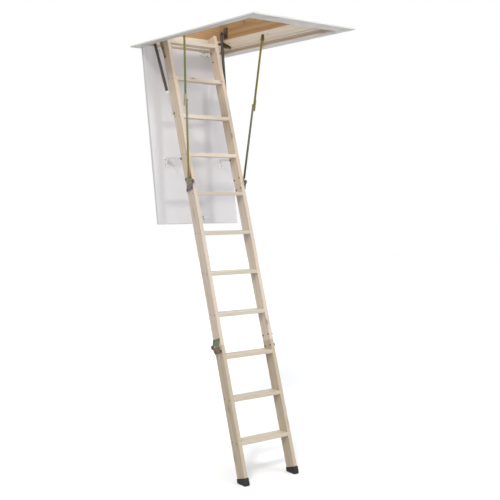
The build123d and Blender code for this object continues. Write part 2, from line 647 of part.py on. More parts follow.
knee_at = (KNEE.Y, KNEE.Z)
with BuildPart() as stay_upper_bars:
    for side in SIDES.values():
        knee = Vector(side * KNEE_UPPER_X, KNEE.Y, KNEE.Z)
        bar(Vector(side * STAY_TOP[0], STAY_TOP[1], STAY_TOP[2]), knee, BAR_WIDE, BAR_THICK)
        disc(side_plane(side * (STAY_TOP[0] + 8)), STAY_TOP[1:], STUD_R + 0.4, -side * 16, Mode.SUBTRACT)
        disc(side_plane(side * (KNEE_UPPER_X + 4)), knee_at, STUD_R, -side * 16)
        disc(side_plane(side * (KNEE_UPPER_X + 4)), knee_at, 7.0, -side * 3)
        disc(side_plane(side * (KNEE_LOWER_X - 3.4)), knee_at, 7.0, -side * 2.6)
keep(stay_upper_bars, "stay_upper_bars")

with BuildPart() as stay_lower_bars:
    for side in SIDES.values():
        knee = Vector(side * KNEE_LOWER_X, KNEE.Y, KNEE.Z)
        bar(knee, Vector(side * STAY_FOOT_X, foot_y, foot_z), BAR_WIDE, BAR_THICK)
        disc(side_plane(side * (KNEE_LOWER_X + 8)), knee_at, STUD_R + 0.4, -side * 16, Mode.SUBTRACT)
        disc(side_plane(side * (STAY_FOOT_X + 4)), (foot_y, foot_z), 7.0, -side * 9.3)
keep(stay_lower_bars, "stay_lower_bars")

# Knee plates: wide plates that stiffen the upper bars' lower ends, around the rivet heads.
with BuildPart() as stay_knees:
    for side in SIDES.values():
        knee = Vector(side * KNEE_UPPER_X, KNEE.Y, KNEE.Z)
        run = (knee - Vector(side * STAY_TOP[0], STAY_TOP[1], STAY_TOP[2])).normalized()
        out = (Vector(side, 0, 0) - run * (side * run.X)).normalized()
        with BuildSketch(Plane(origin=knee + out * (BAR_THICK / 2), x_dir=run, z_dir=out)):
            RectangleRounded(KNEE_LONG, KNEE_WIDE, 6)
            Circle(7.6, mode=Mode.SUBTRACT)
        extrude(amount=3)
keep(stay_knees, "stay_knees")

# ---- counterbalance springs -----------------------------------------------------------------------
COVER_R, COVER_BORE, ROD_R = 9.0, 7.0, 3.5
COVER_START, COVER_END = 11.0, 442.0
ROD_START = 250.0
spring_y, spring_z = on_ladder(*SPRING_FOOT)
with BuildPart() as spring_covers:
    for side in SIDES.values():
        top = Vector(side * SPRING_TOP[0], SPRING_TOP[1], SPRING_TOP[2])
        foot = Vector(side * SPRING_FOOT_X, spring_y, spring_z)
        run = (foot - top).normalized()
        with BuildSketch(Plane(origin=top + run * COVER_START, z_dir=run)):
            Circle(COVER_R)
        extrude(amount=COVER_END - COVER_START)
        with BuildSketch(Plane(origin=top + run * (COVER_START + 12), z_dir=run)):
            Circle(COVER_BORE)
        extrude(amount=COVER_END - COVER_START - 18, mode=Mode.SUBTRACT)
        with BuildSketch(Plane(origin=top + run * (COVER_END - 8), z_dir=run)):
            Circle(ROD_R + RUNNING)
        extrude(amount=10, mode=Mode.SUBTRACT)
        eye = side_plane(side * (SPRING_TOP[0] + 6))
        disc(eye, SPRING_TOP[1:], 13.0, -side * 12)
        disc(eye, SPRING_TOP[1:], SPRING_STUD_R + RUNNING, -side * 12, Mode.SUBTRACT)
keep(spring_covers, "spring_covers")

for name, side in SIDES.items():
    top = Vector(side * SPRING_TOP[0], SPRING_TOP[1], SPRING_TOP[2])
    foot = Vector(side * SPRING_FOOT_X, spring_y, spring_z)
    run = (foot - top).normalized()
    with BuildPart() as spring_rod:
        with BuildSketch(Plane(origin=top + run * ROD_START, z_dir=run)):
            Circle(ROD_R)
        extrude(amount=(foot - top).length - ROD_START - 6)
        with BuildSketch(Plane(origin=top + run * ROD_START, z_dir=run)):
            Circle(COVER_BORE - 0.5)
        extrude(amount=8)
        disc(side_plane(side * (SPRING_FOOT_X + 3)), (spring_y, spring_z), 9.0, -side * 6)
    keep(spring_rod, f"spring_rod_{name}")

# ---- link arms between the ladder and the door ----------------------------------------------------
link_foot = on_door(*LINK_DOOR)
link_head = on_ladder(*LINK_STILE)
with BuildPart() as link_arms:
    for side in SIDES.values():
        with BuildSketch(side_plane(low_x(side, LINK_X, LINK_X + LINK))):
            with Locations(link_head):
                Circle(8)
            with Locations(link_foot):
                Circle(8)
            make_hull()
            with Locations(link_head):
                Circle(BOLT_R + RUNNING, mode=Mode.SUBTRACT)
        extrude(amount=LINK)
        boss = EAR_NEAR - 0.3 - LINK_X - LINK
        disc(side_plane(side * (LINK_X + LINK)), link_foot, 6.0, side * boss)
keep(link_arms, "link_arms")
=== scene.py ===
import bmesh
import bpy
import json
import math
from mathutils import Matrix, Vector


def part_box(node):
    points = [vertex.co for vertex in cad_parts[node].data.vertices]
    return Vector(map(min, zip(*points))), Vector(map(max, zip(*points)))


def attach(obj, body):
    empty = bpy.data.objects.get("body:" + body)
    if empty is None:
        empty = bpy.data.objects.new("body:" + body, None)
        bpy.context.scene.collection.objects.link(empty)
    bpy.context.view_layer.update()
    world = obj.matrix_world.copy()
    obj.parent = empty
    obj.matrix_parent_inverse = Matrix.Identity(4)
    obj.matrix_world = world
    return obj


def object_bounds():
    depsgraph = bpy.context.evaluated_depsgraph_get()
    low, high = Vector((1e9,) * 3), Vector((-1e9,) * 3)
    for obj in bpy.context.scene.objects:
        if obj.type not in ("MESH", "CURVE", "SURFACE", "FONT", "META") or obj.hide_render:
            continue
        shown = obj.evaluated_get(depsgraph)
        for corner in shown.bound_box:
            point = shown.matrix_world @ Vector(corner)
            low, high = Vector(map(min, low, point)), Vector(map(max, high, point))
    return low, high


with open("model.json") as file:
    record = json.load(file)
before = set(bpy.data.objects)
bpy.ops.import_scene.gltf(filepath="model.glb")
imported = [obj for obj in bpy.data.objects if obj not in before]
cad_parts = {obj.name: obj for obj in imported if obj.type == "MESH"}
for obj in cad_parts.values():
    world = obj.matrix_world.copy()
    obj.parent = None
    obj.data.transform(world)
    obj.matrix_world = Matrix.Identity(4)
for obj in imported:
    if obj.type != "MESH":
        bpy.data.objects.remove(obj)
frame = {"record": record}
cad_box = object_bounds()

# ---- slopes and grain directions ---------------------------------------------------------------------
LADDER_SLOPE, DOOR_SLOPE = math.radians(72.3), math.radians(80.5)
GRAIN_DOWN_STILE = (math.pi / 2 - LADDER_SLOPE, 0.0, 0.0)
GRAIN_DOWN_DOOR = (math.pi / 2 - DOOR_SLOPE, 0.0, 0.0)
GRAIN_X = (0.0, math.pi / 2, 0.0)
GRAIN_Y = (math.pi / 2, 0.0, 0.0)

# ---- shader building blocks ------------------------------------------------------------------------
COLOUR_A, COLOUR_B, COLOUR_RESULT = 6, 7, 2      # a mix node's sockets when it mixes colours
EDGE_FROM, EDGE_TO = 0.505, 0.56                 # pointiness where a worn edge starts and is full


class Shader:
    """A material with a principled shader and short calls for the nodes that feed it."""

    def __init__(self, name, rotation=(0.0, 0.0, 0.0), offset=(0.0, 0.0, 0.0)):
        self.material = bpy.data.materials.new(name)
        self.material.use_nodes = True
        self.tree = self.material.node_tree
        self.out = self.tree.nodes["Principled BSDF"]
        self.coordinates = self.tree.nodes.new("ShaderNodeTexCoord")
        self.space = self.mapping(self.coordinates.outputs["Object"], rotation=rotation, location=offset)

    def put(self, socket, value):
        if isinstance(value, bpy.types.NodeSocket):
            self.tree.links.new(value, socket)
        else:
            socket.default_value = value

    def mapping(self, vector, scale=(1.0, 1.0, 1.0), rotation=(0.0, 0.0, 0.0), location=(0.0, 0.0, 0.0)):
        node = self.tree.nodes.new("ShaderNodeMapping")
        self.put(node.inputs["Vector"], vector)
        node.inputs["Scale"].default_value = scale
        node.inputs["Rotation"].default_value = rotation
        node.inputs["Location"].default_value = location
        return node.outputs["Vector"]

    def noise(self, vector, scale, detail=4.0, roughness=0.5, distortion=0.0):
        node = self.tree.nodes.new("ShaderNodeTexNoise")
        self.put(node.inputs["Vector"], vector)
        node.inputs["Scale"].default_value = scale
        node.inputs["Detail"].default_value = detail
        node.inputs["Roughness"].default_value = roughness
        node.inputs["Distortion"].default_value = distortion
        return node.outputs["Fac"]

    def bands(self, vector, scale, distortion):
        node = self.tree.nodes.new("ShaderNodeTexWave")
        node.wave_type = "BANDS"
        node.bands_direction = "X"
        self.put(node.inputs["Vector"], vector)
        node.inputs["Scale"].default_value = scale
        node.inputs["Distortion"].default_value = distortion
        node.inputs["Detail"].default_value = 2.0
        node.inputs["Detail Scale"].default_value = 0.6
        return node.outputs["Fac"]

    def cells(self, vector, scale):
        node = self.tree.nodes.new("ShaderNodeTexVoronoi")
        self.put(node.inputs["Vector"], vector)
        node.inputs["Scale"].default_value = scale
        return node.outputs["Distance"], node.outputs["Color"]

    def math(self, operation, a, b):
        node = self.tree.nodes.new("ShaderNodeMath")
        node.operation = operation
        self.put(node.inputs[0], a)
        self.put(node.inputs[1], b)
        return node.outputs[0]

    def span(self, value, low, high, to_low=0.0, to_high=1.0):
        node = self.tree.nodes.new("ShaderNodeMapRange")
        node.interpolation_type = "SMOOTHSTEP"
        self.put(node.inputs["Value"], value)
        node.inputs["From Min"].default_value = low
        node.inputs["From Max"].default_value = high
        node.inputs["To Min"].default_value = to_low
        node.inputs["To Max"].default_value = to_high
        return node.outputs["Result"]

    def mix(self, factor, a, b):
        node = self.tree.nodes.new("ShaderNodeMix")
        node.data_type = "RGBA"
        self.put(node.inputs["Factor"], factor)
        self.put(node.inputs[COLOUR_A], a)
        self.put(node.inputs[COLOUR_B], b)
        return node.outputs[COLOUR_RESULT]

    def edges(self):
        node = self.tree.nodes.new("ShaderNodeNewGeometry")
        return self.span(node.outputs["Pointiness"], EDGE_FROM, EDGE_TO)

    def axes(self):
        node = self.tree.nodes.new("ShaderNodeSeparateXYZ")
        self.put(node.inputs[0], self.coordinates.outputs["Object"])
        return node.outputs

    def bump(self, height, distance, strength):
        node = self.tree.nodes.new("ShaderNodeBump")
        self.put(node.inputs["Height"], height)
        node.inputs["Distance"].default_value = distance
        node.inputs["Strength"].default_value = strength
        self.put(self.out.inputs["Normal"], node.outputs["Normal"])


def rgb(r, g, b):
    return (r, g, b, 1.0)


def times(factor, colour):
    """A colour made darker or lighter as a whole, as a socket value."""
    return rgb(*[min(1.0, c * factor) for c in colour])


def tinted(tone, colour):
    return [a * c for a, c in zip(tone, colour)]


BARE_FROM, BARE_TO = 0.020, 0.016                # heights between which varnish gives way to bare wood
WOOD_ROUGH = 0.55


def wood(name, light, dark, knot, rotation, offset, knots=0.35, ring=38.0, contrast=1.0, bare=None):
    """Planed softwood: long fibres, growth bands, resin streaks and a few knots; grain along local Z.

    knots is the share of cells with a knot, ring the scale of the growth bands, and bare the colour of the
    unvarnished strip along a casing board's lower edge."""
    s = Shader(name, rotation, offset)
    warp = s.noise(s.mapping(s.space, (3.0, 3.0, 0.9)), 1.6, 3.0)
    shift = s.tree.nodes.new("ShaderNodeVectorMath")
    shift.operation = "MULTIPLY_ADD"
    s.put(shift.inputs[0], warp)
    shift.inputs[1].default_value = (0.05, 0.05, 0.0)
    s.put(shift.inputs[2], s.space)
    bent = shift.outputs[0]
    fibre = s.noise(s.mapping(bent, (1.0, 1.0, 0.018)), 420.0, 6.0, 0.65)
    streak = s.noise(s.mapping(bent, (1.0, 1.0, 0.03)), 70.0, 4.0, 0.6)
    band = s.bands(s.mapping(bent, (1.0, 0.55, 0.02), (0.0, 0.0, 0.5)), ring, 3.5)
    patch = s.noise(s.mapping(s.space, (1.0, 1.0, 0.25)), 7.0, 3.0)
    distance, cell = s.cells(s.mapping(bent, (1.0, 1.0, 0.42)), 13.0)
    chosen = s.span(cell, 1.0 - knots - 0.02, 1.0 - knots)
    eye = s.math("MULTIPLY", s.span(distance, 0.12, 0.07), chosen)
    halo = s.math("MULTIPLY", s.span(distance, 0.32, 0.1), chosen)
    grain = s.math("ADD", s.math("MULTIPLY", band, 0.42), s.math("MULTIPLY", streak, 0.58))
    grain = s.span(s.math("MULTIPLY", grain, contrast), 0.22, 0.9)
    colour = s.mix(grain, rgb(*light), rgb(*dark))
    colour = s.mix(s.span(patch, 0.42, 0.72, 0.0, 0.45), colour, times(0.9, dark))
    colour = s.mix(s.span(fibre, 0.35, 0.8, 0.0, 0.28), colour, times(0.72, dark))
    colour = s.mix(s.math("MULTIPLY", halo, 0.4), colour, times(0.7, dark))
    colour = s.mix(eye, colour, rgb(*knot))
    colour = s.mix(s.math("MULTIPLY", s.edges(), 0.35), colour, times(1.12, light))
    if bare:
        below = s.span(s.axes()["Z"], BARE_FROM, BARE_TO)
        colour = s.mix(below, colour, s.mix(grain, rgb(*bare), times(0.82, bare)))
    s.put(s.out.inputs["Base Color"], colour)
    s.put(s.out.inputs["Roughness"], s.span(streak, 0.2, 0.8, WOOD_ROUGH - 0.08, WOOD_ROUGH + 0.12))
    raised = s.math("ADD", fibre, s.math("MULTIPLY", band, 0.5))
    s.bump(s.math("SUBTRACT", raised, s.math("MULTIPLY", eye, 0.6)), 0.00022, 0.8)
    return s.material


def paint(name, colour, shade, rotation, offset, rough=0.45, texture=0.00012, dirt=0.35):
    """Painted board: a lightly rolled surface with faint grain telegraphing through and soft grime."""
    s = Shader(name, rotation, offset)
    peel = s.noise(s.space, 260.0, 3.0, 0.5)
    grain = s.noise(s.mapping(s.space, (1.0, 1.0, 0.03)), 90.0, 4.0, 0.6)
    cloud = s.noise(s.space, 2.2, 4.0, 0.55)
    fine = s.noise(s.space, 18.0, 5.0, 0.6)
    base = s.mix(s.span(cloud, 0.35, 0.75, 0.0, dirt), rgb(*colour), rgb(*shade))
    base = s.mix(s.span(fine, 0.5, 0.8, 0.0, 0.25), base, rgb(*shade))
    base = s.mix(s.math("MULTIPLY", s.edges(), 0.3), base, times(1.08, colour))
    s.put(s.out.inputs["Base Color"], base)
    s.put(s.out.inputs["Roughness"], s.span(fine, 0.3, 0.7, rough - 0.06, rough + 0.1))
    s.bump(s.math("ADD", peel, s.math("MULTIPLY", grain, 0.8)), texture, 0.6)
    return s.material


RUST_FADE = 0.03                                 # length over which the brown end of a bar fades out


def metal(name, colour, second, worn, rough, metallic=1.0, left=None, rust=None):
    """Plated steel: blotchy plating, fine brush marks, scuffs and bare edges.

    left is the plating colour of the pieces on the -X side, and rust the height and the colour of their
    lower end."""
    s = Shader(name)
    blotch = s.noise(s.space, 14.0, 5.0, 0.6, 0.4)
    brush = s.noise(s.space, 900.0, 3.0, 0.7)
    scuff = s.noise(s.space, 160.0, 6.0, 0.7)
    base = s.mix(s.span(blotch, 0.38, 0.66), rgb(*colour), rgb(*second))
    if left:
        on_left = s.math("LESS_THAN", s.axes()["X"], 0.0)
        base = s.mix(on_left, base, rgb(*left))
        if rust:
            height, rusty = rust
            low_end = s.span(s.axes()["Z"], height + RUST_FADE, height)
            base = s.mix(s.math("MULTIPLY", low_end, on_left), base, rgb(*rusty))
    base = s.mix(s.span(scuff, 0.58, 0.75, 0.0, 0.5), base, rgb(*worn))
    base = s.mix(s.math("MULTIPLY", s.edges(), 0.7), base, rgb(*worn))
    s.put(s.out.inputs["Base Color"], base)
    s.put(s.out.inputs["Metallic"], metallic)
    roughness = s.math("ADD", s.span(blotch, 0.3, 0.7, rough - 0.07, rough + 0.07),
                       s.span(scuff, 0.4, 0.8, -0.04, 0.1))
    s.put(s.out.inputs["Roughness"], roughness)
    s.bump(s.math("ADD", s.math("MULTIPLY", brush, 0.5), scuff), 0.00008, 0.6)
    return s.material


def moulded(name, colour, worn, rough=0.5, grain=700.0):
    """Moulded plastic or rubber: pebbled skin, pale scuffs and dusty patches."""
    s = Shader(name)
    skin = s.noise(s.space, grain, 2.0, 0.5)
    dust = s.noise(s.space, 22.0, 5.0, 0.6)
    scratch = s.noise(s.mapping(s.space, (1.0, 1.0, 0.12), (0.5, 0.3, 0.0)), 220.0, 5.0, 0.75)
    base = s.mix(s.span(dust, 0.45, 0.8, 0.0, 0.5), rgb(*colour), rgb(*worn))
    base = s.mix(s.span(scratch, 0.62, 0.78, 0.0, 0.4), base, rgb(*worn))
    base = s.mix(s.math("MULTIPLY", s.edges(), 0.5), base, rgb(*worn))
    s.put(s.out.inputs["Base Color"], base)
    s.put(s.out.inputs["Roughness"], s.span(dust, 0.3, 0.8, rough - 0.05, rough + 0.18))
    s.bump(skin, 0.00012, 0.6)
    return s.material


# ---- materials -------------------------------------------------------------------------------------
SPRUCE_LIGHT, SPRUCE_DARK, SPRUCE_KNOT = (0.62, 0.54, 0.445), (0.50, 0.39, 0.285), (0.17, 0.085, 0.04)
TREAD_LIGHT, TREAD_DARK = (0.62, 0.545, 0.44), (0.51, 0.41, 0.30)
# colour factors of each ladder section, counted from the top; the lowest section is darker
SECTION_TONE = {1: (1.02, 0.99, 0.97), 2: (0.99, 0.99, 1.03), 3: (0.74, 0.725, 0.68)}
# of the treads: the top section's treads are painted lighter, painted light that makes up for the shade the
# casing casts on them, and the lowest section's treads are darker
TREAD_TONE_AND_PAINTED_LIGHT = {1: (1.14, 1.16, 1.22), 2: (0.91, 0.95, 0.99), 3: (0.87, 0.87, 0.87)}
ORANGE_LIGHT, ORANGE_DARK, ORANGE_KNOT = (0.47, 0.29, 0.135), (0.25, 0.13, 0.055), (0.09, 0.035, 0.018)
LINING_LIGHT, LINING_DARK, LINING_KNOT = (0.70, 0.63, 0.54), (0.56, 0.48, 0.39), (0.28, 0.17, 0.10)
BARE_EDGE = (0.58, 0.46, 0.36)
TRIM_WHITE, TRIM_GREY = (0.72, 0.705, 0.675), (0.62, 0.60, 0.56)

stile_woods = {}
for section, tone in SECTION_TONE.items():
    for side, offset in (("left", 0.0), ("right", 1.7)):
        place = (offset, 0.4 * section, 3.1 * section + offset)
        stile_woods[f"stile_{section}_{side}"] = wood(
            f"spruce_stile_{section}_{side}", tinted(tone, SPRUCE_LIGHT), tinted(tone, SPRUCE_DARK),
            SPRUCE_KNOT, GRAIN_DOWN_STILE, place, knots=0.55)
tread_woods = {
    section: wood(f"spruce_tread_{section}", tinted(tone, TREAD_LIGHT), tinted(tone, TREAD_DARK), SPRUCE_KNOT,
                  GRAIN_X, (0.3, 0.0, 5.0), knots=0.3)
    for section, tone in TREAD_TONE_AND_PAINTED_LIGHT.items()}
casing_wood_long = wood("casing_pine_long", ORANGE_LIGHT, ORANGE_DARK, ORANGE_KNOT, GRAIN_Y, (0.0, 2.0, 0.0),
                        ring=26.0, bare=BARE_EDGE)
casing_wood_end = wood("casing_pine_end", ORANGE_LIGHT, ORANGE_DARK, ORANGE_KNOT, GRAIN_X, (0.0, 4.0, 0.0),
                       ring=26.0, bare=BARE_EDGE)
lining_wood_long = wood("lining_pine_long", LINING_LIGHT, LINING_DARK, LINING_KNOT, GRAIN_Y, (0.0, 1.0, 2.0),
                        knots=0.12, contrast=0.8)
lining_wood_end = wood("lining_pine_end", LINING_LIGHT, LINING_DARK, LINING_KNOT, GRAIN_X, (0.0, 5.0, 1.0),
                       knots=0.12, contrast=0.8)
trim_long = paint("trim_paint_long", TRIM_WHITE, TRIM_GREY, GRAIN_Y, (0.0, 0.0, 0.0))
trim_end = paint("trim_paint_end", TRIM_WHITE, TRIM_GREY, GRAIN_X, (0.0, 3.0, 0.0))
door_paint = paint("door_paint", (0.61, 0.60, 0.62), (0.57, 0.56, 0.58), GRAIN_DOWN_DOOR, (0.0, 0.0, 0.0),
                   rough=0.4, texture=0.0001, dirt=0.25)
yellow_zinc = metal("yellow_passivate", (0.34, 0.34, 0.08), (0.24, 0.26, 0.07), (0.46, 0.42, 0.18), 0.36,
                    left=(0.15, 0.27, 0.09))
stay_zinc = metal("stay_passivate", (0.12, 0.14, 0.10), (0.16, 0.17, 0.11), (0.38, 0.38, 0.30), 0.42,
                  left=(0.26, 0.25, 0.06), rust=(-0.80, (0.34, 0.17, 0.05)))
brown_steel = metal("brown_steel", (0.16, 0.135, 0.12), (0.22, 0.18, 0.17), (0.42, 0.38, 0.34), 0.45)
LEAF_COLOURS = {                                 # of the fold hinge leaves: plating, second tone, worn
    "leaf_upper_1": ((0.115, 0.155, 0.065), (0.15, 0.17, 0.08), (0.30, 0.32, 0.20)),
    "leaf_lower_1": ((0.095, 0.072, 0.088), (0.13, 0.10, 0.11), (0.26, 0.22, 0.23)),
    "leaf_upper_2": ((0.055, 0.105, 0.035), (0.075, 0.11, 0.04), (0.20, 0.24, 0.13)),
    "leaf_lower_2": ((0.075, 0.042, 0.022), (0.10, 0.06, 0.035), (0.22, 0.16, 0.11)),
}
leaves = {name: metal(name, *colours, 0.55, metallic=0.35) for name, colours in LEAF_COLOURS.items()}
# yellow-passivated steel with painted shade: darkened to olive, as it looks in the shade of the casing, for
# the pivot arms and the pivot and stay brackets
yellow_steel_painted_shade = metal("yellow_steel_painted_shade", (0.16, 0.13, 0.06), (0.22, 0.18, 0.08), (0.42, 0.36, 0.22), 0.45)
zinc = metal("bright_zinc", (0.72, 0.72, 0.70), (0.60, 0.61, 0.61), (0.82, 0.82, 0.80), 0.34)
black_zinc = metal("black_zinc", (0.020, 0.017, 0.012), (0.034, 0.030, 0.022), (0.12, 0.105, 0.09), 0.46,
                   metallic=0.4)
cover_black = moulded("spring_cover_plastic", (0.026, 0.022, 0.021), (0.060, 0.055, 0.052), 0.46, grain=500.0)
case_black = moulded("latch_case_plastic", (0.035, 0.035, 0.037), (0.13, 0.13, 0.13))
foot_rubber = moulded("foot_rubber", (0.0065, 0.0045, 0.004), (0.022, 0.018, 0.016), 0.72, grain=420.0)
seal_rubber = moulded("seal_rubber", (0.54, 0.46, 0.37), (0.60, 0.52, 0.44), 0.7)
white_steel = paint("white_enamel", (0.66, 0.65, 0.65), (0.58, 0.57, 0.56), GRAIN_Y, (0.0, 0.0, 0.0),
                    rough=0.35, texture=0.00006)
knee_brass = metal("knee_plate_zinc", (0.50, 0.40, 0.22), (0.42, 0.34, 0.17), (0.60, 0.52, 0.36), 0.45)
white_plastic = moulded("white_cap_plastic", (0.72, 0.72, 0.70), (0.80, 0.80, 0.78), 0.4)

LOWEST_TREAD = {1: 8, 2: 4, 3: 1}                # of each section, treads being counted from the floor

look = dict(stile_woods)
for number in range(1, 12):
    section = next(n for n, lowest in LOWEST_TREAD.items() if number >= lowest)
    look[f"tread_{number:02d}"] = tread_woods[section]
for name in ("left", "right"):
    look[f"casing_{name}"] = casing_wood_long
    look[f"lining_{name}"] = lining_wood_long
    look[f"architrave_{name}"] = trim_long
for name in ("front", "hinge_end"):
    look[f"casing_{name}"] = casing_wood_end
    look[f"lining_{name}"] = lining_wood_end
    look[f"architrave_{name}"] = trim_end
for section in (1, 2, 3):
    look[f"section_{section}_bolts"] = look[f"section_{section}_screws"] = black_zinc
for fold in (1, 2):
    for place in ("upper", "lower"):
        look[f"fold_{fold}_{place}_leaves"] = leaves[f"leaf_{place}_{fold}"]
look.update({
    "door_panel": door_paint, "draught_seal": seal_rubber, "casing_screws": black_zinc,
    "pivot_brackets": yellow_steel_painted_shade, "stay_brackets": yellow_steel_painted_shade, "spring_brackets": brown_steel,
    "pivot_arms": yellow_steel_painted_shade, "door_hinge_leaves_fixed": zinc, "door_hinge_leaves": white_steel,
    "door_brackets": white_steel, "latch_keeper": white_steel, "latch_tongue": zinc, "latch_case": case_black,
    "link_arms": white_steel, "stay_upper_bars": yellow_zinc, "stay_lower_bars": stay_zinc,
    "stay_knees": knee_brass, "spring_covers": cover_black, "spring_rod_left": zinc, "spring_rod_right": zinc,
    "feet": foot_rubber,
})

BOARD_BEVEL, PLATE_BEVEL = 0.0008, 0.0005
BOARDS = ("casing_l", "casing_r", "casing_f", "casing_h", "lining")
PLATES = ("fold_", "stay_", "pivot_", "link_arms", "door_brackets", "spring_brackets", "latch_keeper")
bevels = {"door_panel": 0.0015, "feet": 0.002, "latch_case": 0.001}
for name in look:
    if name.startswith(BOARDS):
        bevels[name] = BOARD_BEVEL
    if name.startswith(PLATES):
        bevels[name] = PLATE_BEVEL

for name, material in look.items():
    thing = bpy.data.objects[name]
    thing.data.materials.clear()
    thing.data.materials.append(material)
    if name in bevels:
        bevel = thing.modifiers.new("soft_edges", "BEVEL")
        bevel.width = bevels[name]
        bevel.segments = 2
        bevel.limit_method = "ANGLE"
        bevel.angle_limit = math.radians(35)
        bevel.harden_normals = False

# ---- small fittings --------------------------------------------------------------------------------
HEAD_STEPS, LATHE_STEPS = 18, 40                 # faces across a screw head and around a turned ring
HEAD_RISE, HEAD_DOME = 0.42, 0.82                # height over radius of a head, and how strongly it domes
SLOT_HALF_WIDTH, SLOT_REACH, SLOT_DEPTH = 0.17, 0.62, 0.6   # over the head's radius, radius and height


def in_scene(name, data):
    thing = bpy.data.objects.new(name, data)
    bpy.context.scene.collection.objects.link(thing)
    return thing


def new_piece(name, mesh_data, material, body):
    mesh = bpy.data.meshes.new(name)
    mesh_data.to_mesh(mesh)
    mesh_data.free()
    for face in mesh.polygons:
        face.use_smooth = True
    mesh.materials.append(material)
    piece = in_scene(name, mesh)
    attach(piece, body)


def screw_heads(name, body, seats, radius, material):
    """Cross-recess pan heads, each on its seat: a point on the surface and the direction out of it."""
    heads = bmesh.new()
    steps, rise = HEAD_STEPS, radius * HEAD_RISE
    for point, out in seats:
        out = Vector(out).normalized()
        across = out.orthogonal().normalized()
        stand = Matrix((across, out.cross(across), out)).transposed()
        rows = []
        for i in range(steps + 1):
            row = []
            for j in range(steps + 1):
                u, v = 2 * i / steps - 1, 2 * j / steps - 1
                x, y = u * math.sqrt(1 - v * v / 2), v * math.sqrt(1 - u * u / 2)
                height = rise * math.sqrt(max(0.0, 1 - HEAD_DOME * (x * x + y * y)))
                if min(abs(x), abs(y)) < SLOT_HALF_WIDTH and max(abs(x), abs(y)) < SLOT_REACH:
                    height -= rise * SLOT_DEPTH
                place = Vector(point) + stand @ Vector((x * radius, y * radius, height))
                row.append(heads.verts.new(place))
            rows.append(row)
        for i in range(steps):
            for j in range(steps):
                heads.faces.new((rows[i][j], rows[i + 1][j], rows[i + 1][j + 1], rows[i][j + 1]))
        rim = ([rows[i][0] for i in range(steps)] + [rows[steps][j] for j in range(steps)]
               + [rows[i][steps] for i in range(steps, 0, -1)] + [rows[0][j] for j in range(steps, 0, -1)])
        foot = [heads.verts.new(v.co - out * (out.dot(v.co - Vector(point)))) for v in rim]
        for i, vertex in enumerate(rim):
            following = (i + 1) % len(rim)
            heads.faces.new((vertex, rim[following], foot[following], foot[i]))
    bmesh.ops.recalc_face_normals(heads, faces=heads.faces)
    new_piece(name, heads, material, body)


def lathe(name, body, turns, material):
    """Turned rings; each turn is a start point, an axis and a closed profile of (radius, along) points."""
    rings = bmesh.new()
    for start, axis, profile in turns:
        axis = Vector(axis).normalized()
        across = axis.orthogonal().normalized()
        other = axis.cross(across)
        loops = []
        for k in range(LATHE_STEPS):
            angle = 2 * math.pi * k / LATHE_STEPS
            spoke = across * math.cos(angle) + other * math.sin(angle)
            loops.append([rings.verts.new(Vector(start) + spoke * r + axis * a) for r, a in profile])
        for k in range(LATHE_STEPS):
            here, there = loops[k], loops[(k + 1) % LATHE_STEPS]
            for m in range(len(profile)):
                n = (m + 1) % len(profile)
                rings.faces.new((here[m], here[n], there[n], there[m]))
    bmesh.ops.recalc_face_normals(rings, faces=rings.faces)
    new_piece(name, rings, material, body)


joints = {joint["name"]: joint for joint in frame["record"]["behaviour"]["joints"]}
hinge = Vector(joints["door_hinge"]["pos_m"])
door_down = Vector((0.0, -math.cos(DOOR_SLOPE), -math.sin(DOOR_SLOPE)))
door_out = Vector((0.0, -math.sin(DOOR_SLOPE), math.cos(DOOR_SLOPE)))


def on_door(x, along, height):
    """A point along the hanging door from its hinge and above the hinge's plane, towards the ladder."""
    return hinge + Vector((x, 0.0, 0.0)) + door_down * along + door_out * height


BRACKET = 0.004                                  # stay and spring bracket plates
DOOR_FACE, DOOR_PLATE, KEEPER_PLATE = 0.014, 0.0025, 0.002
# y and z on the casing
BOARD_SCREWS = ((0.166, 0.118), (0.181, 0.178), (0.299, 0.176))
LINING_SCREWS = ((0.042, 0.064), (0.451, 0.064))
STAY_BRACKET_SCREW = (0.090, 0.062)
SPRING_BRACKET_SCREWS = ((0.494, 0.169), (0.518, 0.169), (0.494, 0.111), (0.518, 0.111))
# x and the distance along the door
LINK_BRACKET_SCREWS = ((0.214, 0.723), (0.214, 0.755))
KEEPER_SCREWS = ((0.035, 1.0863), (0.035, 1.1037))
# a hinge leaf's middle, its two screws' steps to either side, and their distance along the door
HINGE_X, HINGE_STEPS, HINGE_SCREWS_ALONG = 0.160, (-0.024, 0.024), 0.0195
CASING_SCREW_RADIUS, DOOR_SCREW_RADIUS = 0.0036, 0.0032
SPRING_X = 0.272
# the collar on a spring cover's lower end: radius, and distance from the spring's upper pivot
CAP_PROFILE = [(0.0037, 0.4423), (0.0088, 0.4423), (0.0093, 0.4430), (0.0093, 0.4455), (0.0086, 0.4462),
               (0.0086, 0.4475), (0.0093, 0.4482), (0.0092, 0.4525), (0.0083, 0.4545), (0.0050, 0.4552),
               (0.0039, 0.4545)]

